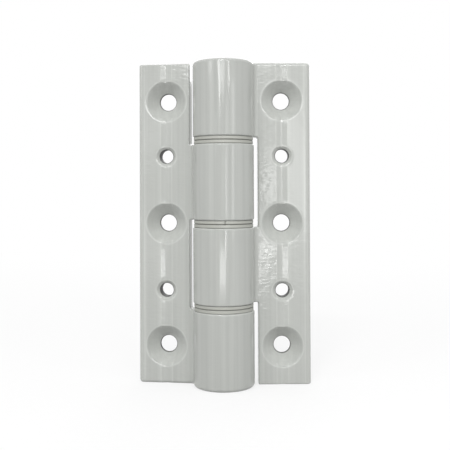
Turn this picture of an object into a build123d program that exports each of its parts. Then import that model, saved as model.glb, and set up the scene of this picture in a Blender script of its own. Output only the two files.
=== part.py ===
from build123d import *
from math import cos, radians, sin, tan
import os

# Bifold door hinge: two alike extruded leaves, four knuckles, split flanged bushes and a steel pin.
# Frame in mm: Z runs up along the pin, X points along the right leaf, Y points away from the countersunk faces.
# The origin is on the pin's axis, half way up the barrel.

os.makedirs("parts", exist_ok=True)

# Leaf extrusion
leaf_height = 100.0
axis_to_outer_edge = 27.0
leaf_thickness = 4.2
face_setback = 0.25
barrel_radius = 9.45
web_radius = 1.4
outer_edge_radius = 1.3
bore_radius = 6.25
bore_chamfer = 0.3

# Knuckles, and the windows that the other leaf's knuckles turn in
knuckle_count = 4
knuckle_gap = 2.3
window_clearance = 1.2
window_corner_radius = 0.6
knuckle_edge_radius = 0.5
flush_end_radius = 1.0
open_end_radius = 0.45

# Screw holes and the shallow groove that guides the drill
hole_line = 18.2
screw_pitch = 38.25
screw_hole_radius = 2.6
screw_head_radius = 6.3
small_hole_offset = 20.9
small_hole_radius = 2.1
small_head_radius = 3.05
head_angle = 90.0
head_lip_radius = 0.5
groove_width = 3.5
groove_depth = 0.25
groove_valley_radius = 3.0
groove_lip_radius = 4.0

# Pin, bushes and end plugs
pin_radius = 4.0
pin_chamfer = 0.6
pin_clearance = 0.05
bush_length = 10.5
bush_seat_clearance = 0.02
bush_chamfer = 0.5
flange_radius = 9.15
flange_clearance = 0.06
flange_rim_radius = 0.3
slit_width = 0.2
slit_angles = (62, 118, -88, 75, 104, 84)
plug_cover = 2.0
plug_socket_depth = 6.0
plug_recess = 0.3
plug_chamfer = 0.4
pin_end_clearance = 0.2

# Pose in the photo: the left leaf is folded back this far beyond flat
rest_angle = 8.8

knuckle_length = (leaf_height - (knuckle_count - 1) * knuckle_gap) / knuckle_count
knuckle_step = knuckle_length + knuckle_gap
window_edge = barrel_radius + window_clearance
back_face = face_setback + leaf_thickness
flange_thickness = (knuckle_gap - flange_clearance) / 2
pin_length = leaf_height - 2 * (plug_recess + plug_cover + pin_end_clearance)
cut_margin = 2.0
near = 0.01


def knuckle_top(number):
    """Height of a knuckle's upper end; number 1 is the topmost knuckle."""
    return leaf_height / 2 - (number - 1) * knuckle_step


def knuckle_bottom(number):
    """Height of a knuckle's lower end."""
    return knuckle_top(number) - knuckle_length


def screw_seat(hole_radius, head_radius):
    """The space of one countersunk hole, its mouth towards -Y and its lip softly rounded."""
    half_angle = radians(head_angle / 2)
    cone_depth = (head_radius - hole_radius) / tan(half_angle)
    lip_run = head_lip_radius * tan((radians(90) - half_angle) / 2)
    lip_outer = (head_radius + lip_run, face_setback)
    lip_inner = (head_radius - lip_run * sin(half_angle), face_setback + lip_run * cos(half_angle))
    with BuildPart() as seat:
        with BuildSketch(Plane.XY):
            with BuildLine():
                TangentArc(lip_outer, lip_inner, tangent=(-1, 0))
                Polyline(
                    lip_inner,
                    (hole_radius, face_setback + cone_depth),
                    (hole_radius, back_face + cut_margin),
                    (0, back_face + cut_margin),
                    (0, face_setback - cut_margin),
                    (lip_outer[0], face_setback - cut_margin),
                    lip_outer,
                )
            make_face()
        revolve(axis=Axis.Y)
    return seat.part


# One leaf, drawn in the right leaf's place with knuckles 1 and 3
with BuildPart() as leaf:
    with BuildSketch(Plane.XY) as profile:
        with Locations(Location((0, 0), 180)):
            Circle(barrel_radius)
        with Locations((0, face_setback)):
            Rectangle(axis_to_outer_edge, leaf_thickness, align=(Align.MIN, Align.MIN))
        outer_corners = profile.vertices().group_by(Axis.X)[-1]
        fillet(outer_corners, outer_edge_radius)
        web_corners = profile.vertices().filter_by_position(Axis.X, 1, barrel_radius)
        fillet(web_corners, web_radius)
        Polygon(
            (hole_line, face_setback + groove_depth),
            (hole_line + groove_width, face_setback - groove_depth),
            (hole_line - groove_width, face_setback - groove_depth),
            align=None,
            mode=Mode.SUBTRACT,
        )
        groove_corners = profile.vertices().filter_by_position(
            Axis.X, hole_line - groove_width, hole_line + groove_width
        )
        groove_corners = groove_corners.sort_by(Axis.Y)
        fillet(groove_corners[-1], groove_valley_radius)
        fillet(groove_corners[:-1], groove_lip_radius)
    extrude(amount=leaf_height / 2, both=True)

    # Windows cut straight through barrel and leaf
    window_tops = (knuckle_bottom(1), knuckle_bottom(3))
    window_bottoms = (knuckle_top(3), -leaf_height / 2 - cut_margin)
    with BuildSketch(Plane.XZ) as windows:
        for top, bottom in zip(window_tops, window_bottoms):
            with Locations((window_edge, top)):
                Rectangle(window_edge + barrel_radius + cut_margin, top - bottom, align=(Align.MAX, Align.MAX))
        window_corners = windows.vertices().group_by(Axis.X)[-1]
        fillet(window_corners.sort_by(Axis.Y)[1:], window_corner_radius)
    extrude(amount=barrel_radius + cut_margin, both=True, mode=Mode.SUBTRACT)

    # Softened edges: the windows and knuckle ends first, then the two ends of the leaf
    def on_window_rim(edge):
        """True for the outline edges that the windows left, without bore rims and leaf ends."""
        middle = edge @ 0.5
        inside = middle.X < window_edge + near and abs(middle.Z) < leaf_height / 2 - near
        across = edge.geom_type == GeomType.LINE and abs(edge.tangent_at(0.5).Y) > 0.9
        lengthwise = edge.geom_type == GeomType.LINE and abs(edge.tangent_at(0.5).Z) > 0.9
        on_wall = abs(middle.X - window_edge) < near
        in_bore = edge.geom_type == GeomType.CIRCLE and edge.radius < bore_radius + near and edge.arc_center.X < near
        return inside and not across and not in_bore and (on_wall or not lengthwise)

    fillet(leaf.edges().filter_by(on_window_rim), knuckle_edge_radius)
    fillet(leaf.faces().sort_by(Axis.Z)[0].outer_wire().edges(), open_end_radius)
    fillet(leaf.faces().sort_by(Axis.Z)[-1].outer_wire().edges(), flush_end_radius)

    # Bore for bushes, pin and end plug
    with Locations((0, 0, leaf_height / 2)):
        Hole(bore_radius)
    bore_rims = leaf.edges().filter_by(GeomType.CIRCLE).filter_by(lambda e: abs(e.radius - bore_radius) < near)
    chamfer(bore_rims.sort_by(Axis.Z)[-1], bore_chamfer)

    # Three screw holes and two small holes between them
    with Locations([(hole_line, 0, step * screw_pitch) for step in (-1, 0, 1)]):
        add(screw_seat(screw_hole_radius, screw_head_radius), mode=Mode.SUBTRACT)
    with Locations([(hole_line, 0, step * small_hole_offset) for step in (-1, 1)]):
        add(screw_seat(small_hole_radius, small_head_radius), mode=Mode.SUBTRACT)

# The right leaf is that extrusion as drawn; the left one is it turned end for end and folded back
with BuildPart() as right_leaf:
    add(leaf.part)
right_leaf.part.label = "right_leaf"
export_step(right_leaf.part, "parts/right_leaf.step")

with BuildPart() as left_leaf:
    with Locations(Rot(Z=-rest_angle) * Rot(Y=180)):
        add(leaf.part)
left_leaf.part.label = "left_leaf"
export_step(left_leaf.part, "parts/left_leaf.step")

# Hinge pin
with BuildPart() as hinge_pin:
    Cylinder(pin_radius, pin_length)
    chamfer(hinge_pin.edges().filter_by(GeomType.CIRCLE), pin_chamfer)
hinge_pin.part.label = "hinge_pin"
export_step(hinge_pin.part, "parts/hinge_pin.step")

# One split flanged bush: the flange lies on the knuckle's end at Z = 0 and the sleeve points down
with BuildPart() as bush:
    with BuildSketch(Plane.XZ) as bush_profile:
        sleeve_radius = bore_radius - bush_seat_clearance
        inner_radius = pin_radius + pin_clearance
        with Locations((inner_radius, -bush_length)):
            Rectangle(sleeve_radius - inner_radius, bush_length, align=(Align.MIN, Align.MIN))
        with Locations((inner_radius, 0)):
            Rectangle(flange_radius - inner_radius, flange_thickness, align=(Align.MIN, Align.MIN))
        fillet(bush_profile.vertices().group_by(Axis.X)[-1], flange_rim_radius)
        sleeve_end = bush_profile.vertices().group_by(Axis.Y)[0].sort_by(Axis.X)[-1]
        chamfer(sleeve_end, bush_chamfer)
    revolve(axis=Axis.Z)
    with Locations((0, 0, -bush_length)):
        Box(
            flange_radius + cut_margin,
            slit_width,
            bush_length + flange_thickness,
            align=(Align.MIN, Align.CENTER, Align.MIN),
            mode=Mode.SUBTRACT,
        )

# A bush sits in each knuckle end that faces another knuckle; the third one's slit points to the front
bush_seats = []
for number in range(1, knuckle_count + 1):
    if number > 1:
        bush_seats.append((number, "top", knuckle_top(number), 0))
    if number < knuckle_count:
        bush_seats.append((number, "bottom", knuckle_bottom(number), 180))

for (number, end, seat_height, flip), slit_angle in zip(bush_seats, slit_angles):
    with BuildPart() as placed_bush:
        with Locations(Pos(Z=seat_height) * Rot(Z=slit_angle) * Rot(X=flip)):
            add(bush.part)
    placed_bush.part.label = f"bush_k{number}_{end}"
    export_step(placed_bush.part, f"parts/bush_k{number}_{end}.step")

# One end plug: its cover lies at Z = 0 and its socket takes the pin from below
with BuildPart() as plug:
    with BuildSketch(Plane.XZ) as plug_profile:
        Rectangle(
            bore_radius - bush_seat_clearance,
            plug_cover + plug_socket_depth,
            align=(Align.MIN, Align.MAX),
        )
        with Locations((0, -plug_cover)):
            Rectangle(
                pin_radius + pin_clearance,
                plug_socket_depth,
                align=(Align.MIN, Align.MAX),
                mode=Mode.SUBTRACT,
            )
        chamfer(plug_profile.vertices().group_by(Axis.X)[-1], plug_chamfer)
    revolve(axis=Axis.Z)

for end, flip in (("top", 0), ("bottom", 180)):
    with BuildPart() as placed_plug:
        with Locations(Rot(X=flip) * Pos(Z=leaf_height / 2 - plug_recess)):
            add(plug.part)
    placed_plug.part.label = f"plug_{end}"
    export_step(placed_plug.part, f"parts/plug_{end}.step")
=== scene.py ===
import math

import bpy
from mathutils import Euler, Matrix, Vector


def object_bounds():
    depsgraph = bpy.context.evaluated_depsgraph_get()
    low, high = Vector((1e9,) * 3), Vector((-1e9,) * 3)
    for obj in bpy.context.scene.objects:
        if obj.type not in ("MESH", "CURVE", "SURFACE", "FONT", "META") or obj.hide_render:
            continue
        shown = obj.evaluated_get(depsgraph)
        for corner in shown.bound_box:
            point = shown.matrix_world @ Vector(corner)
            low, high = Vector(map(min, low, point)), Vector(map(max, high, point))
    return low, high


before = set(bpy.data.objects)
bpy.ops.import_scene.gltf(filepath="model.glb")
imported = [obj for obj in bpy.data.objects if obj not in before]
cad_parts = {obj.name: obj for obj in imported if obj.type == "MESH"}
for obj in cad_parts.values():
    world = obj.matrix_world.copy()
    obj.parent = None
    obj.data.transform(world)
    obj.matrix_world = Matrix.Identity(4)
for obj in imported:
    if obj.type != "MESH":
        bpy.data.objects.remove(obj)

bl_info = {
    "name": "Bifold door hinge",
    "version": (1, 0, 0),
    "blender": (4, 5, 0),
    "location": "View3D > Sidebar > Hinge",
    "description": "Finishes the leaves, bushes, plugs and pin of a bifold door hinge, with its studio",
    "category": "Object",
}

CAD_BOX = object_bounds()
MM = 0.001

# The leaf's sizes in its own frame, for patterns that follow its holes, its ridges and its barrel
HOLE_LINE = 18.2 * MM
SCREW_PITCH = 38.25 * MM
HEAD_RADIUS = 6.3 * MM
HOLE_RADIUS = 2.6 * MM
SMALL_HOLE_OFFSET = 20.9 * MM
SMALL_HOLE_RADIUS = 2.1 * MM
SMALL_HEAD_RADIUS = 3.05 * MM
SEAT_DEPTH = 4.2 * MM
GROOVE_LIP = 1.8 * MM
OUTER_RIDGE = 25.2 * MM
# How far outside a countersink's rim its painted highlight ring lies
RIM_HIGHLIGHT_OFFSET = 0.25 * MM

# The coat changes from its look on the barrel to its look on the plate between these two
BARREL_SIDE = 8.5 * MM
PLATE_START = 11.5 * MM

# Degrees that the left leaf is folded back beyond flat
FOLD_ANGLE = 8.8

# The gaps between the knuckles, where the bushes' flanges lie
KNUCKLE_STEP = 25.575 * MM
KNUCKLE_GAP = 2.3 * MM

# How the coat covers, with painted shade darkening the barrel, and what its clouds, lines, painted
# ridge highlights and specks add, as shares of its colour
# Painted shade: the coat is drawn darker on the barrel than on the plate
BARREL_SHADED_COVER = 0.812
PLATE_COVER = 0.885
CLOUD_SHARE = 0.05
LINE_SHARE = 0.26
RIDGE_HIGHLIGHT_SHARE = 0.1
SPECK_SHARE = -0.22
HOLE_WALL_SHADE = 0.09
HOLE_WALL_ROUGHNESS = 0.6
COAT_ROUGHNESS_SPREAD = 0.03

# Moulded and ground surfaces
MOULD_GRAIN_DEPTH = 0.012 * MM
FLOW_MARK_SIZE = 3 * MM
MOULD_ROUGHNESS_SPREAD = 0.06
SEAM_SHADE = 0.6
SCRATCH_DEPTH = 0.004 * MM
SCRATCH_ROUGHNESS = (0.2, 0.36)

# The floor's paper: its grain, its tones, what it throws back on the hinge, and how it fades to white
PAPER_GRAIN = 1.5 * MM
PAPER_TONES = (0.8, 0.86)
PAPER_BOUNCE = 0.35
FADE_REACH = (50 * MM, 500 * MM)
NEAR_WHITE = 0.72

# The camera, worked out from the hinge's outlines and hole centres in the photograph
CAMERA_LENS = 60.7585
CAMERA_SHIFT = (-0.01303, -0.10541)
CAMERA_PLACE = (-2.122, -235.66, 10.996)
CAMERA_TURN = (90.778, 0.2307, -1.0685)


def linear(hex_colour):
    """An sRGB hex colour as linear red, green and blue."""
    channels = [int(hex_colour[i:i + 2], 16) / 255 for i in (1, 3, 5)]
    return tuple(c / 12.92 if c <= 0.04045 else ((c + 0.055) / 1.055) ** 2.4 for c in channels)


def add_node(tree, kind, settings=None, **links):
    """Adds a node, sets its properties and sockets, and links the sockets that another node feeds.

    A link's name is the socket's own, with _ for a space, or i and the socket's number.
    """
    node = tree.nodes.new(kind)
    for name, value in (settings or {}).items():
        if isinstance(name, int):
            node.inputs[name].default_value = value
        elif hasattr(node, name) and name not in node.inputs:
            setattr(node, name, value)
        else:
            node.inputs[name].default_value = value
    for name, source in links.items():
        key = int(name[1:]) if name[0] == "i" and name[1:].isdigit() else name.replace("_", " ")
        tree.links.new(source, node.inputs[key])
    return node


def new_material(name):
    """An empty node material and its tree."""
    material = bpy.data.materials.new(name)
    material.use_nodes = True
    material.node_tree.nodes.clear()
    return material, material.node_tree


def dress(node_name, material):
    """Gives a CAD node one material over its whole surface."""
    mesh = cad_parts[node_name].data
    mesh.materials.clear()
    mesh.materials.append(material)
    for face in mesh.polygons:
        face.material_index = 0


class CoatSettings(bpy.types.PropertyGroup):
    """Gloss powder coat on the aluminium leaves."""
    colour: bpy.props.FloatVectorProperty(
        name="Colour", description="Colour of the powder coat", subtype="COLOR",
        size=3, min=0, max=1, default=linear("#b5b7b3"))
    roughness: bpy.props.FloatProperty(
        name="Roughness", description="Roughness of the cured coat", subtype="FACTOR",
        min=0, max=1, default=0.1)
    ripple_length: bpy.props.FloatProperty(
        name="Ripple length", description="Length of the orange-peel ripples", subtype="DISTANCE",
        unit="LENGTH", default=2.0 * MM)
    ripple_depth: bpy.props.FloatProperty(
        name="Ripple depth", description="Depth of the orange-peel ripples", subtype="DISTANCE",
        unit="LENGTH", default=0.032 * MM)
    grain_length: bpy.props.FloatProperty(
        name="Grain length", description="Length of the fine ripples between them", subtype="DISTANCE",
        unit="LENGTH", default=0.8 * MM)
    grain_depth: bpy.props.FloatProperty(
        name="Grain depth", description="Depth of the fine ripples", subtype="DISTANCE",
        unit="LENGTH", default=0.033 * MM)
    barrel_share: bpy.props.FloatProperty(
        name="Share on barrel", subtype="FACTOR", min=0, max=1, default=0.28,
        description="How much of the ripples' depth is left on the round barrel")
    line_spacing: bpy.props.FloatProperty(
        name="Line spacing", description="Spacing of the extrusion's drawing lines", subtype="DISTANCE",
        unit="LENGTH", default=1.1 * MM)
    line_depth: bpy.props.FloatProperty(
        name="Line depth", description="Depth of the drawing lines that show through the coat",
        subtype="DISTANCE", unit="LENGTH", default=0.0035 * MM)
    cloud_size: bpy.props.FloatProperty(
        name="Cloud size", description="Size of the soft clouds in the pigment", subtype="DISTANCE",
        unit="LENGTH", default=9 * MM)
    speck_spacing: bpy.props.FloatProperty(
        name="Speck spacing", description="Size of the cells that may hold one speck of dust each",
        subtype="DISTANCE", unit="LENGTH", default=5.5 * MM)
    ring_spacing: bpy.props.FloatProperty(
        name="Ring spacing", description="Spacing of the countersink tool's rings", subtype="DISTANCE",
        unit="LENGTH", default=0.8 * MM)
    ring_depth: bpy.props.FloatProperty(
        name="Ring depth", description="Depth of the rings that show through the coat",
        subtype="DISTANCE", unit="LENGTH", default=0.08 * MM)
    shoulder_width: bpy.props.FloatProperty(
        name="Shoulder width", subtype="DISTANCE", unit="LENGTH", default=1.0 * MM,
        description="How far the coat's rounding reaches out from a countersink's rim")
    shoulder_depth: bpy.props.FloatProperty(
        name="Shoulder depth", description="How far the coat drops over that width", subtype="DISTANCE",
        unit="LENGTH", default=0.1 * MM)


class PolymerSettings(bpy.types.PropertyGroup):
    """Moulded bushes and end plugs."""
    bush_colour: bpy.props.FloatVectorProperty(
        name="Bush colour", description="Colour of the flanged bushes", subtype="COLOR",
        size=3, min=0, max=1, default=linear("#abaca5"))
    plug_colour: bpy.props.FloatVectorProperty(
        name="Plug colour", description="Colour of the end plugs", subtype="COLOR",
        size=3, min=0, max=1, default=linear("#a3a5a0"))
    roughness: bpy.props.FloatProperty(
        name="Roughness", description="Roughness of the moulded skin", subtype="FACTOR",
        min=0, max=1, default=0.38)
    grain: bpy.props.FloatProperty(
        name="Mould grain", description="Size of the spark-eroded grain of the mould",
        subtype="DISTANCE", unit="LENGTH", default=0.22 * MM)


class PinSettings(bpy.types.PropertyGroup):
    """Ground steel pin."""
    colour: bpy.props.FloatVectorProperty(
        name="Colour", description="Colour of the steel", subtype="COLOR",
        size=3, min=0, max=1, default=linear("#a7a5a1"))
    scratch_spacing: bpy.props.FloatProperty(
        name="Scratch spacing", description="Spacing of the grinding scratches", subtype="DISTANCE",
        unit="LENGTH", default=0.12 * MM)


class StageSettings(bpy.types.PropertyGroup):
    """Studio round the hinge."""
    floor_size: bpy.props.FloatProperty(
        name="Floor size", description="Side of the square floor", subtype="DISTANCE",
        unit="LENGTH", default=8.0)
    light: bpy.props.FloatProperty(
        name="Light", description="Brightness of all lamps together", min=0, default=1.0)
    ambient: bpy.props.FloatProperty(
        name="Ambient", description="Even light of the room", min=0, default=0.76)


def orange_peel(tree, place, coat):
    """Height of the flow ripples that a cured powder coat keeps: long ones with finer ones between.

    Their lengths and depths were set by eye, so that reflections break up as they do in the photograph.
    """
    long_wave = add_node(tree, "ShaderNodeTexNoise",
                         {"Scale": 1 / coat.ripple_length, "Detail": 1.0, "Roughness": 0.4},
                         Vector=place)
    across = add_node(tree, "ShaderNodeMapping", {"Scale": (0.45, 1.0, 1.25)}, Vector=place)
    short_wave = add_node(tree, "ShaderNodeTexNoise",
                          {"Scale": 1 / coat.grain_length, "Detail": 0.3, "Roughness": 0.5},
                          Vector=across.outputs["Vector"])
    low = add_node(tree, "ShaderNodeMath", {"operation": "MULTIPLY", 1: coat.ripple_depth},
                   i0=long_wave.outputs["Fac"])
    waves = add_node(tree, "ShaderNodeMath", {"operation": "MULTIPLY_ADD", 1: coat.grain_depth},
                     i0=short_wave.outputs["Fac"], i2=low.outputs[0])
    # The coat flows out smoother on the round barrel than on the flat plate
    parts = add_node(tree, "ShaderNodeSeparateXYZ", Vector=place)
    share = add_node(tree, "ShaderNodeMapRange",
                     {"From Min": BARREL_SIDE, "From Max": PLATE_START,
                      "To Min": coat.barrel_share, "To Max": 1.0}, Value=parts.outputs["X"])
    return add_node(tree, "ShaderNodeMath", {"operation": "MULTIPLY"},
                    i0=waves.outputs[0], i1=share.outputs[0]).outputs[0]


def hole_distances(tree, place):
    """Distances from the axis of the nearest screw hole and of the nearest small hole."""
    parts = add_node(tree, "ShaderNodeSeparateXYZ", Vector=place)
    across = add_node(tree, "ShaderNodeMath", {"operation": "SUBTRACT", 1: HOLE_LINE},
                      i0=parts.outputs["X"])
    screw_z = add_node(tree, "ShaderNodeMath",
                       {"operation": "WRAP", 1: SCREW_PITCH / 2, 2: -SCREW_PITCH / 2},
                       i0=parts.outputs["Z"])
    height = add_node(tree, "ShaderNodeMath", {"operation": "ABSOLUTE"}, i0=parts.outputs["Z"])
    small_z = add_node(tree, "ShaderNodeMath", {"operation": "SUBTRACT", 1: SMALL_HOLE_OFFSET},
                       i0=height.outputs[0])
    distances = []
    for along in (screw_z, small_z):
        flat = add_node(tree, "ShaderNodeCombineXYZ", X=across.outputs[0], Y=along.outputs[0])
        distances.append(add_node(tree, "ShaderNodeVectorMath", {"operation": "LENGTH"},
                                  i0=flat.outputs[0]).outputs["Value"])
    return distances


def ring_height(tree, radius, coat):
    """Height of the faint rings that the countersinking tool left in the three large cones."""
    rings = add_node(tree, "ShaderNodeTexNoise",
                     {"noise_dimensions": "1D", "Scale": 1 / coat.ring_spacing, "Detail": 2.0},
                     W=radius)
    inside = add_node(tree, "ShaderNodeMapRange",
                      {"From Min": HEAD_RADIUS - 0.3 * MM, "From Max": HEAD_RADIUS - 0.1 * MM,
                       "To Min": coat.ring_depth, "To Max": 0.0}, Value=radius)
    return add_node(tree, "ShaderNodeMath", {"operation": "MULTIPLY"},
                    i0=rings.outputs["Fac"], i1=inside.outputs[0]).outputs[0]


def shoulder_height(tree, distances, coat):
    """Height of the coat where it rounds down over the rims of the countersinks."""
    slopes = [add_node(tree, "ShaderNodeMapRange",
                       {"From Min": rim - 0.1 * MM, "From Max": rim + coat.shoulder_width,
                        "To Min": 1.0, "To Max": 0.0}, Value=distance).outputs[0]
              for distance, rim in zip(distances, (HEAD_RADIUS, SMALL_HEAD_RADIUS))]
    reach = add_node(tree, "ShaderNodeMath", {"operation": "MAXIMUM"}, i0=slopes[0], i1=slopes[1])
    bend = add_node(tree, "ShaderNodeMath", {"operation": "POWER", 1: 2.0}, i0=reach.outputs[0])
    return add_node(tree, "ShaderNodeMath", {"operation": "MULTIPLY", 1: -coat.shoulder_depth},
                    i0=bend.outputs[0]).outputs[0]


def thin_coat_and_shade(tree, distances):
    """One in the straight walls of the holes, where little powder gets to, and zero elsewhere."""
    walls = [add_node(tree, "ShaderNodeMapRange",
                      {"From Min": radius + 0.05 * MM, "From Max": radius + 0.28 * MM,
                       "To Min": 1.0, "To Max": 0.0}, Value=distance).outputs[0]
             for distance, radius in zip(distances, (HOLE_RADIUS, SMALL_HOLE_RADIUS))]
    return add_node(tree, "ShaderNodeMath", {"operation": "MAXIMUM"},
                    i0=walls[0], i1=walls[1]).outputs[0]


def painted_ridge_highlights(tree, place, distances):
    """One on the front's ridges and hole rims, where the coat shows palest, and zero elsewhere."""
    parts = add_node(tree, "ShaderNodeSeparateXYZ", Vector=place)
    ridges = [(parts.outputs["X"], ridge)
              for ridge in (HOLE_LINE - GROOVE_LIP, HOLE_LINE + GROOVE_LIP, OUTER_RIDGE)]
    ridges += zip(distances, (HEAD_RADIUS + RIM_HIGHLIGHT_OFFSET, SMALL_HEAD_RADIUS + RIM_HIGHLIGHT_OFFSET))
    nearest = None
    for source, ridge in ridges:
        offset = add_node(tree, "ShaderNodeMath", {"operation": "SUBTRACT", 1: ridge}, i0=source)
        offset = add_node(tree, "ShaderNodeMath", {"operation": "ABSOLUTE"}, i0=offset.outputs[0])
        if nearest:
            offset = add_node(tree, "ShaderNodeMath", {"operation": "MINIMUM"},
                              i0=nearest, i1=offset.outputs[0])
        nearest = offset.outputs[0]
    line = add_node(tree, "ShaderNodeMapRange",
                    {"interpolation_type": "SMOOTHSTEP", "From Min": 0.05 * MM, "From Max": 0.3 * MM,
                     "To Min": 1.0, "To Max": 0.0}, Value=nearest)
    front = add_node(tree, "ShaderNodeMath", {"operation": "LESS_THAN", 1: 1.0 * MM},
                     i0=parts.outputs["Y"])
    return add_node(tree, "ShaderNodeMath", {"operation": "MULTIPLY"},
                    i0=line.outputs[0], i1=front.outputs[0]).outputs[0]


def coat_material(name, coat, turn):
    """Gloss polyester powder coat, sprayed and baked on an extruded aluminium leaf.

    To the eye it is a smooth pale grey skin with sharp but rippled reflections. Turn brings a point of
    the piece into the leaf's own frame.
    """
    material, tree = new_material(name)
    place = add_node(tree, "ShaderNodeTexCoord").outputs["Object"]
    place = add_node(tree, "ShaderNodeMapping", {"Rotation": turn}, Vector=place).outputs["Vector"]

    # Drawing lines of the extrusion, long in Z, that show through the coat. Real ones lie closer
    # together than the render can show, so they are drawn coarser
    stretched = add_node(tree, "ShaderNodeMapping", {"Scale": (1.0, 1.0, 0.012)}, Vector=place)
    lines = add_node(tree, "ShaderNodeTexNoise",
                     {"Scale": 1 / coat.line_spacing, "Detail": 3.0, "Roughness": 0.6},
                     Vector=stretched.outputs["Vector"])
    distances = hole_distances(tree, place)
    seats = add_node(tree, "ShaderNodeMath", {"operation": "ADD"},
                     i0=ring_height(tree, distances[0], coat),
                     i1=shoulder_height(tree, distances, coat))
    # The countersinks don't reach the flat back
    parts = add_node(tree, "ShaderNodeSeparateXYZ", Vector=place)
    seated = add_node(tree, "ShaderNodeMath", {"operation": "LESS_THAN", 1: SEAT_DEPTH},
                      i0=parts.outputs["Y"])
    skin_height = add_node(tree, "ShaderNodeMath", {"operation": "MULTIPLY_ADD"}, i0=seats.outputs[0],
                           i1=seated.outputs[0], i2=orange_peel(tree, place, coat))
    height = add_node(tree, "ShaderNodeMath", {"operation": "MULTIPLY_ADD", 1: coat.line_depth},
                      i0=lines.outputs["Fac"], i2=skin_height.outputs[0])
    bump = add_node(tree, "ShaderNodeBump", {"Strength": 1.0, "Distance": 1.0},
                    Height=height.outputs[0])

    # Pigment that settles a little unevenly, and painted shade that darkens the round barrel
    cloud = add_node(tree, "ShaderNodeTexNoise",
                     {"Scale": 1 / coat.cloud_size, "Detail": 4.0, "Roughness": 0.55}, Vector=place)
    painted_barrel_shade = add_node(tree, "ShaderNodeMapRange",
                     {"From Min": BARREL_SIDE, "From Max": PLATE_START,
                      "To Min": BARREL_SHADED_COVER, "To Max": PLATE_COVER}, Value=parts.outputs["X"])
    shade = add_node(tree, "ShaderNodeMath", {"operation": "MULTIPLY_ADD", 1: CLOUD_SHARE},
                     i0=cloud.outputs["Fac"], i2=painted_barrel_shade.outputs[0])
    streak = add_node(tree, "ShaderNodeMath", {"operation": "MULTIPLY_ADD", 1: LINE_SHARE},
                      i0=lines.outputs["Fac"], i2=shade.outputs[0])
    # Painted highlights lighten the front's ridges and the rings round the hole rims
    highlighted = add_node(tree, "ShaderNodeMath", {"operation": "MULTIPLY_ADD", 1: RIDGE_HIGHLIGHT_SHARE},
                      i0=painted_ridge_highlights(tree, place, distances), i2=streak.outputs[0])

    # Rare dark specks of dust under the skin: about one cell in four holds one, and it shows only where
    # the surface happens to pass through it
    cells = add_node(tree, "ShaderNodeTexVoronoi", {"Scale": 1 / coat.speck_spacing}, Vector=place)
    cell = add_node(tree, "ShaderNodeSeparateColor", None, Color=cells.outputs["Color"])
    size = add_node(tree, "ShaderNodeMapRange",
                    {"From Min": 0.72, "From Max": 1.0, "To Min": 0.0, "To Max": 0.045},
                    Value=cell.outputs["Red"])
    speck = add_node(tree, "ShaderNodeMath", {"operation": "LESS_THAN"},
                     i0=cells.outputs["Distance"], i1=size.outputs[0])
    dusty = add_node(tree, "ShaderNodeMath", {"operation": "MULTIPLY_ADD", 1: SPECK_SHARE},
                     i0=speck.outputs[0], i2=highlighted.outputs[0])

    # The walls of the holes are dull, with hardly any coat on them, and darkened by painted shade
    thin_and_shaded = thin_coat_and_shade(tree, distances)
    shaded = add_node(tree, "ShaderNodeMapRange", {"To Max": HOLE_WALL_SHADE},
                      Value=thin_and_shaded, To_Min=dusty.outputs[0])
    colour = add_node(tree, "ShaderNodeVectorMath", {"operation": "SCALE", 0: coat.colour},
                      Scale=shaded.outputs[0])
    skin = add_node(tree, "ShaderNodeMapRange",
                    {"From Min": 0.3, "From Max": 0.7, "To Min": coat.roughness - COAT_ROUGHNESS_SPREAD,
                     "To Max": coat.roughness + COAT_ROUGHNESS_SPREAD}, Value=cloud.outputs["Fac"])
    gloss = add_node(tree, "ShaderNodeMapRange", {"To Max": HOLE_WALL_ROUGHNESS},
                     Value=thin_and_shaded, To_Min=skin.outputs[0])
    shader = add_node(tree, "ShaderNodeBsdfPrincipled", {"IOR": 1.5, "Diffuse Roughness": 0.3},
                      Base_Color=colour.outputs[0], Roughness=gloss.outputs[0],
                      Normal=bump.outputs["Normal"])
    add_node(tree, "ShaderNodeOutputMaterial", None, Surface=shader.outputs["BSDF"])
    return material


def seam_shade(tree, place):
    """Shade of the grime that settles where two flanges meet and where a flange meets its knuckle."""
    parts = add_node(tree, "ShaderNodeSeparateXYZ", Vector=place)
    near_gap = add_node(tree, "ShaderNodeMath",
                        {"operation": "WRAP", 1: KNUCKLE_STEP / 2, 2: -KNUCKLE_STEP / 2},
                        i0=parts.outputs["Z"])
    from_middle = add_node(tree, "ShaderNodeMath", {"operation": "ABSOLUTE"}, i0=near_gap.outputs[0])
    from_rim = add_node(tree, "ShaderNodeMath", {"operation": "SUBTRACT", 1: KNUCKLE_GAP / 4},
                        i0=from_middle.outputs[0])
    off_centre = add_node(tree, "ShaderNodeMath", {"operation": "ABSOLUTE"}, i0=from_rim.outputs[0])
    return add_node(tree, "ShaderNodeMapRange",
                    {"From Min": 0.3 * MM, "From Max": 0.52 * MM, "To Min": 1.0, "To Max": SEAM_SHADE},
                    Value=off_centre.outputs[0]).outputs[0]


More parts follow.
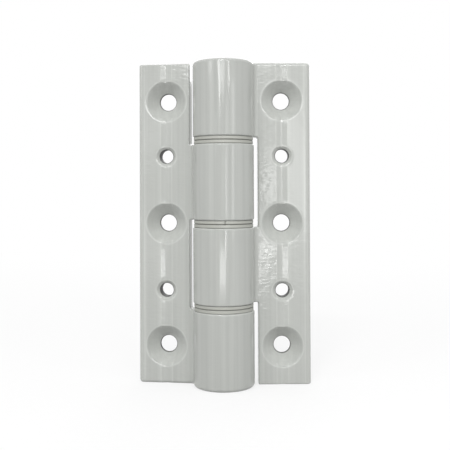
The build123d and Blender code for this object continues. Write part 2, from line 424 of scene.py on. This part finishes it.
def moulded_material(name, colour, roughness, grain, shaded_seams=False):
    """Injection-moulded polymer, satin, with the spark-eroded grain of its mould and soft flow marks.

    The real grain is about 0.03 mm across, too fine to show, so it is drawn as coarse as the settings
    say.
    """
    material, tree = new_material(name)
    place = add_node(tree, "ShaderNodeTexCoord").outputs["Object"]
    skin = add_node(tree, "ShaderNodeTexNoise", {"Scale": 1 / grain, "Detail": 2.0}, Vector=place)
    bump = add_node(tree, "ShaderNodeBump", {"Strength": 1.0, "Distance": MOULD_GRAIN_DEPTH},
                    Height=skin.outputs["Fac"])
    flow = add_node(tree, "ShaderNodeTexNoise",
                    {"Scale": 1 / FLOW_MARK_SIZE, "Detail": 3.0, "Distortion": 1.5}, Vector=place)
    shade = add_node(tree, "ShaderNodeMath", {"operation": "MULTIPLY_ADD", 1: 0.1, 2: 0.95},
                     i0=flow.outputs["Fac"])
    # Painted shade darkens the seams between the flanges and at the knuckle ends
    if shaded_seams:
        shade = add_node(tree, "ShaderNodeMath", {"operation": "MULTIPLY"},
                         i0=shade.outputs[0], i1=seam_shade(tree, place))
    tint = add_node(tree, "ShaderNodeVectorMath", {"operation": "SCALE", 0: colour},
                    Scale=shade.outputs[0])
    gloss = add_node(tree, "ShaderNodeMapRange",
                     {"From Min": 0.3, "From Max": 0.7, "To Min": roughness - MOULD_ROUGHNESS_SPREAD,
                      "To Max": roughness + MOULD_ROUGHNESS_SPREAD}, Value=skin.outputs["Fac"])
    shader = add_node(tree, "ShaderNodeBsdfPrincipled", {"IOR": 1.48}, Base_Color=tint.outputs[0],
                      Roughness=gloss.outputs[0], Normal=bump.outputs["Normal"])
    add_node(tree, "ShaderNodeOutputMaterial", None, Surface=shader.outputs["BSDF"])
    return material


class HINGE_OT_coat_leaves(bpy.types.Operator):
    """Gives both leaves their gloss powder coat"""
    bl_idname = "hinge.coat_leaves"
    bl_label = "Coat leaves"

    def execute(self, context):
        coat = context.scene.hinge_coat
        dress("right_leaf", coat_material("powder_coat_right_leaf", coat, (0.0, 0.0, 0.0)))
        turned = (0.0, math.pi, math.radians(-FOLD_ANGLE))
        dress("left_leaf", coat_material("powder_coat_left_leaf", coat, turned))
        return {"FINISHED"}


class HINGE_OT_finish_bushes(bpy.types.Operator):
    """Gives the split flanged bushes their moulded acetal"""
    bl_idname = "hinge.finish_bushes"
    bl_label = "Finish bushes"

    def execute(self, context):
        polymer = context.scene.hinge_polymer
        acetal = moulded_material("acetal_moulded_grey", polymer.bush_colour, polymer.roughness,
                                  polymer.grain, shaded_seams=True)
        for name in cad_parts:
            if name.startswith("bush_"):
                dress(name, acetal)
        return {"FINISHED"}


class HINGE_OT_finish_plugs(bpy.types.Operator):
    """Gives the end plugs their moulded nylon"""
    bl_idname = "hinge.finish_plugs"
    bl_label = "Finish end plugs"

    def execute(self, context):
        polymer = context.scene.hinge_polymer
        # The plugs' nylon is duller and coarser than the bushes' acetal
        nylon = moulded_material("nylon_moulded_grey", polymer.plug_colour, polymer.roughness + 0.1,
                                 polymer.grain * 1.5)
        for name in ("plug_top", "plug_bottom"):
            dress(name, nylon)
        return {"FINISHED"}


class HINGE_OT_finish_pin(bpy.types.Operator):
    """Gives the pin its ground steel"""
    bl_idname = "hinge.finish_pin"
    bl_label = "Finish pin"

    def execute(self, context):
        pin = context.scene.hinge_pin_finish
        material, tree = new_material("steel_ground_pin")
        place = add_node(tree, "ShaderNodeTexCoord").outputs["Object"]
        # A centreless grinder leaves scratches that run round the pin and smear its reflections along
        # it. Real ones are about 0.01 mm apart, too fine to show, so they are drawn coarser
        squeezed = add_node(tree, "ShaderNodeMapping", {"Scale": (0.02, 0.02, 1.0)}, Vector=place)
        scratches = add_node(tree, "ShaderNodeTexNoise",
                             {"Scale": 1 / pin.scratch_spacing, "Detail": 4.0},
                             Vector=squeezed.outputs["Vector"])
        bump = add_node(tree, "ShaderNodeBump", {"Strength": 1.0, "Distance": SCRATCH_DEPTH},
                        Height=scratches.outputs["Fac"])
        gloss = add_node(tree, "ShaderNodeMapRange",
                         {"From Min": 0.3, "From Max": 0.7, "To Min": SCRATCH_ROUGHNESS[0],
                          "To Max": SCRATCH_ROUGHNESS[1]}, Value=scratches.outputs["Fac"])
        shader = add_node(tree, "ShaderNodeBsdfPrincipled",
                          {"Base Color": (*pin.colour, 1), "Metallic": 1.0},
                          Roughness=gloss.outputs[0], Normal=bump.outputs["Normal"])
        add_node(tree, "ShaderNodeOutputMaterial", None, Surface=shader.outputs["BSDF"])
        dress("hinge_pin", material)
        return {"FINISHED"}


# Name, middle in mm, width and height in mm, turn about the viewing line in degrees, and brightness.
# The lamps and softboxes light the hinge; the glints are seen only mirrored in the gloss coat.
LAMPS = (
    ("key_lamp", (-144, -539, 502), (150, 64), 0, 42.0),
    ("upper_front_lamp", (26, -463, 265), (300, 140), 0, 6.3),
    ("right_upper_lamp", (400, -400, 330), (60, 40), 0, 20.0),
    ("left_upper_softbox", (-430, -360, 205), (150, 150), 0, 3.8),
    ("left_softbox", (-410, -380, 110), (160, 330), 0, 0.55),
    ("front_softbox", (100, -560, 205), (220, 180), 0, 0.7),
    ("right_near_card", (80, -70, 10), (70, 110), 0, 0.38),
    ("back_softbox", (60, 480, 220), (300, 220), 0, 2.4),
    ("outer_glint", (28.5, -45, 20), (8.2, 60), 0, 1.8),
    ("low_glint", (-15, -236, -38), (88, 23), 0, 6.0),
    ("hook_glint", (31, -236, -20), (9, 14), 0, 14.0),
    ("side_glint", (34, -236, 12), (12, 34), 8, 4.0),
    ("upper_left_glint", (-30, -236, 82), (30, 12), 0, 5.5),
    ("upper_right_glint", (86, -236, 82), (26, 12), 0, 8.5),
    ("left_rim_glint", (-78, -236, 94), (84, 24), -42, 8.0),
    ("right_rim_glint", (12, -236, 94), (84, 24), 42, 4.2),
    ("right_wide_glint", (52, -236, 24), (40, 78), 0, 1.6),
    ("right_low_glint", (58, -236, -30), (32, 36), 0, 0.9),
    ("left_wide_glint", (-130, -236, -30), (44, 36), 0, 0.9),
    ("left_small_glint", (-130, -236, 44), (44, 24), 0, 1.1),
)


def backdrop_rays(tree):
    """One for the rays that show the backdrop: the camera's, mirrored and transmitted ones."""
    path = add_node(tree, "ShaderNodeLightPath")
    seen = add_node(tree, "ShaderNodeMath", {"operation": "MAXIMUM"},
                    i0=path.outputs["Is Camera Ray"], i1=path.outputs["Is Glossy Ray"])
    return add_node(tree, "ShaderNodeMath", {"operation": "MAXIMUM"},
                    i0=seen.outputs[0], i1=path.outputs["Is Transmission Ray"]).outputs[0]


class HINGE_OT_set_stage(bpy.types.Operator):
    """Lays the floor and sets the lamps, world and camera"""
    bl_idname = "hinge.set_stage"
    bl_label = "Set stage"

    def execute(self, context):
        scene = context.scene
        stage = scene.hinge_stage
        bpy.ops.object.select_all(action="DESELECT")
        bpy.ops.mesh.primitive_plane_add(size=stage.floor_size, location=(0, 0, CAD_BOX[0].z))
        floor = context.object
        floor.name = "floor"
        bpy.ops.object.transform_apply(location=True)

        # Matte white paper: the camera sees it pale with the hinge's shadow, fading to white far off.
        # Its fibres are too fine to show, so its grain is drawn coarser
        paper, tree = new_material("paper_matte_white")
        seen = backdrop_rays(tree)
        place = add_node(tree, "ShaderNodeTexCoord").outputs["Object"]
        reach = add_node(tree, "ShaderNodeVectorMath", {"operation": "LENGTH"}, i0=place)
        fade = add_node(tree, "ShaderNodeMapRange",
                        {"interpolation_type": "SMOOTHSTEP", "From Min": FADE_REACH[0],
                         "From Max": FADE_REACH[1], "To Min": NEAR_WHITE, "To Max": 1.0},
                        Value=reach.outputs["Value"])
        share = add_node(tree, "ShaderNodeMath", {"operation": "MULTIPLY"}, i0=seen, i1=fade.outputs[0])
        grain = add_node(tree, "ShaderNodeTexNoise", {"Scale": 1 / PAPER_GRAIN, "Detail": 3.0},
                         Vector=place)
        tone = add_node(tree, "ShaderNodeMapRange",
                        {"To Min": PAPER_TONES[0], "To Max": PAPER_TONES[1]},
                        Value=grain.outputs["Fac"])
        shown = add_node(tree, "ShaderNodeMapRange", {"To Min": PAPER_BOUNCE},
                         Value=seen, To_Max=tone.outputs[0])
        matte = add_node(tree, "ShaderNodeBsdfDiffuse", None, Color=shown.outputs[0])
        glow = add_node(tree, "ShaderNodeEmission", {"Color": (1, 1, 1, 1), "Strength": 1.0})
        mixed = add_node(tree, "ShaderNodeMixShader", None, Fac=share.outputs[0],
                         i1=matte.outputs[0], i2=glow.outputs[0])
        add_node(tree, "ShaderNodeOutputMaterial", None, Surface=mixed.outputs[0])
        floor.data.materials.append(paper)

        world = bpy.data.worlds.new("studio")
        scene.world = world
        world.use_nodes = True
        tree = world.node_tree
        tree.nodes.clear()
        ambient = add_node(tree, "ShaderNodeBackground",
                           {"Color": (1, 1, 1, 1), "Strength": stage.ambient})
        white = add_node(tree, "ShaderNodeBackground", {"Color": (1, 1, 1, 1), "Strength": 1.0})
        mixed = add_node(tree, "ShaderNodeMixShader", None, Fac=backdrop_rays(tree),
                         i1=ambient.outputs[0], i2=white.outputs[0])
        add_node(tree, "ShaderNodeOutputWorld", None, Surface=mixed.outputs[0])

        for name, place, size, turn, brightness in LAMPS:
            lamp = bpy.data.lights.new(name, "AREA")
            lamp.shape = "RECTANGLE"
            lamp.size, lamp.size_y = (side * MM for side in size)
            lamp.energy = math.pi * lamp.size * lamp.size_y * brightness * stage.light
            holder = bpy.data.objects.new(name, lamp)
            holder.location = Vector(place) * MM
            aim = (-holder.location).to_track_quat("-Z", "Y").to_matrix()
            holder.rotation_euler = (aim @ Euler((0, 0, math.radians(turn))).to_matrix()).to_euler()
            holder.visible_camera = False
            # A glint shows in mirrored rays and adds no diffuse light
            holder.visible_diffuse = not name.endswith("_glint")
            scene.collection.objects.link(holder)

        camera = bpy.data.objects.new("camera", bpy.data.cameras.new("camera"))
        camera.data.lens = CAMERA_LENS
        camera.data.sensor_width = 36.0
        camera.data.shift_x, camera.data.shift_y = CAMERA_SHIFT
        camera.data.clip_start, camera.data.clip_end = 0.01, 20
        camera.location = Vector(CAMERA_PLACE) * MM
        camera.rotation_euler = Euler([math.radians(angle) for angle in CAMERA_TURN], "XYZ")
        scene.collection.objects.link(camera)
        scene.camera = camera
        scene.view_settings.view_transform = "Standard"
        return {"FINISHED"}


class HINGE_PT_parts(bpy.types.Panel):
    """Lists the hinge's pieces"""
    bl_idname = "HINGE_PT_parts"
    bl_label = "Bifold door hinge"
    bl_space_type = "VIEW_3D"
    bl_region_type = "UI"
    bl_category = "Hinge"

    def draw(self, context):
        for operator in OPERATORS:
            self.layout.operator(operator.bl_idname)
        for name, group in SETTINGS.items():
            column = self.layout.column(heading=group.__doc__)
            for setting in group.__annotations__:
                column.prop(getattr(context.scene, name), setting)


OPERATORS = (HINGE_OT_coat_leaves, HINGE_OT_finish_bushes, HINGE_OT_finish_plugs, HINGE_OT_finish_pin,
             HINGE_OT_set_stage)
SETTINGS = {"hinge_coat": CoatSettings, "hinge_polymer": PolymerSettings,
            "hinge_pin_finish": PinSettings, "hinge_stage": StageSettings}


def register():
    for name, group in SETTINGS.items():
        bpy.utils.register_class(group)
        setattr(bpy.types.Scene, name, bpy.props.PointerProperty(type=group))
    for kind in (*OPERATORS, HINGE_PT_parts):
        bpy.utils.register_class(kind)


def unregister():
    for kind in reversed((*OPERATORS, HINGE_PT_parts)):
        bpy.utils.unregister_class(kind)
    for name, group in reversed(SETTINGS.items()):
        delattr(bpy.types.Scene, name)
        bpy.utils.unregister_class(group)


def main():
    """Makes every piece and the stage, and writes the two boxes."""
    register()
    bpy.ops.hinge.coat_leaves()
    bpy.ops.hinge.finish_bushes()
    bpy.ops.hinge.finish_plugs()
    bpy.ops.hinge.finish_pin()
    bpy.ops.hinge.set_stage()


if __name__ == "__main__":
    main()
